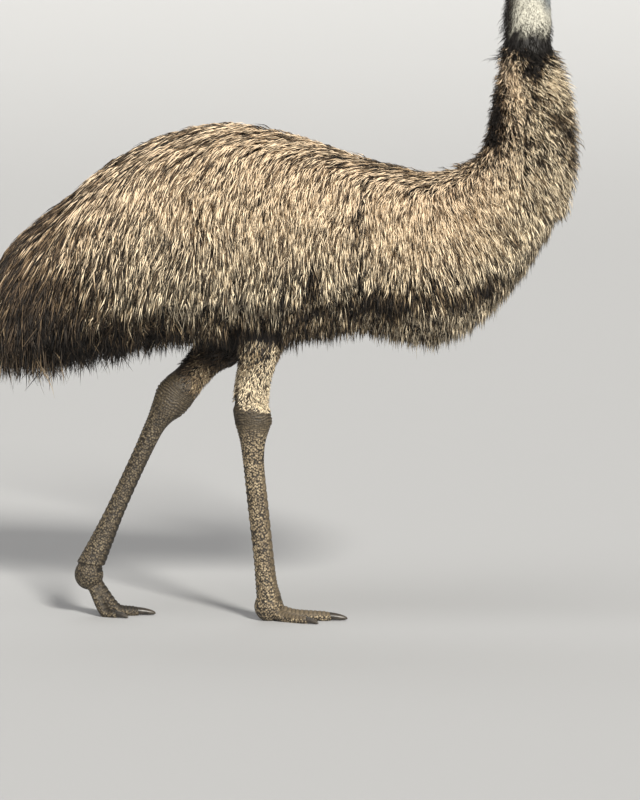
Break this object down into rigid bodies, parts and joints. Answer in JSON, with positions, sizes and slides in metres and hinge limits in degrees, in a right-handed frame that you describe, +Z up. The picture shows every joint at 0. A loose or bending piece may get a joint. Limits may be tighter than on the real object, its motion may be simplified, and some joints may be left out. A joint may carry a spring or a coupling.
{
  "type": "emu",
  "caption": "Life-size still emu in mid-stride, standing on the floor, with shaggy hanging plumage, a long neck and a flat bill.",
  "frame": {"origin": "bottom centre of the bounding box, on the floor", "axes": "+X forward towards the bill, +Y to the bird's left, +Z up"},
  "size_m": [1.2619, 0.4396, 1.6315],
  "materials": {
    "plumage": "shaggy grey-brown feathers",
    "throat": "bare whitish skin under fine dark feathers",
    "face": "bluish grey skin with sparse black bristles",
    "bill": "satin dark horn",
    "eye": "glossy brown eye",
    "shin": "short pale feathers with dark specks",
    "scaled": "pebbled brown-grey scales",
    "claw": "satin dark horn"
  },
  "bodies": {
    "root": {"tail": "plumage", "torso": "plumage", "neck_lower": "plumage", "neck_upper": "throat", "head": "face", "bill_upper": "bill", "bill_lower": "bill", "eye_right": "eye", "eye_left": "eye", "leg_right_shin": "shin", "leg_left_shin": "shin", "leg_right_shank": "scaled", "leg_left_shank": "scaled", "foot_right": "scaled", "foot_left": "scaled", "toe_right_inner": "scaled", "toe_right_middle": "scaled", "toe_right_outer": "scaled", "toe_left_inner": "scaled", "toe_left_middle": "scaled", "toe_left_outer": "scaled", "claw_right_inner": "claw", "claw_right_middle": "claw", "claw_right_outer": "claw", "claw_left_inner": "claw", "claw_left_middle": "claw", "claw_left_outer": "claw", "neck_base": "plumage", "wing_right": "plumage", "wing_left": "plumage"}
  },
  "joints": []
}
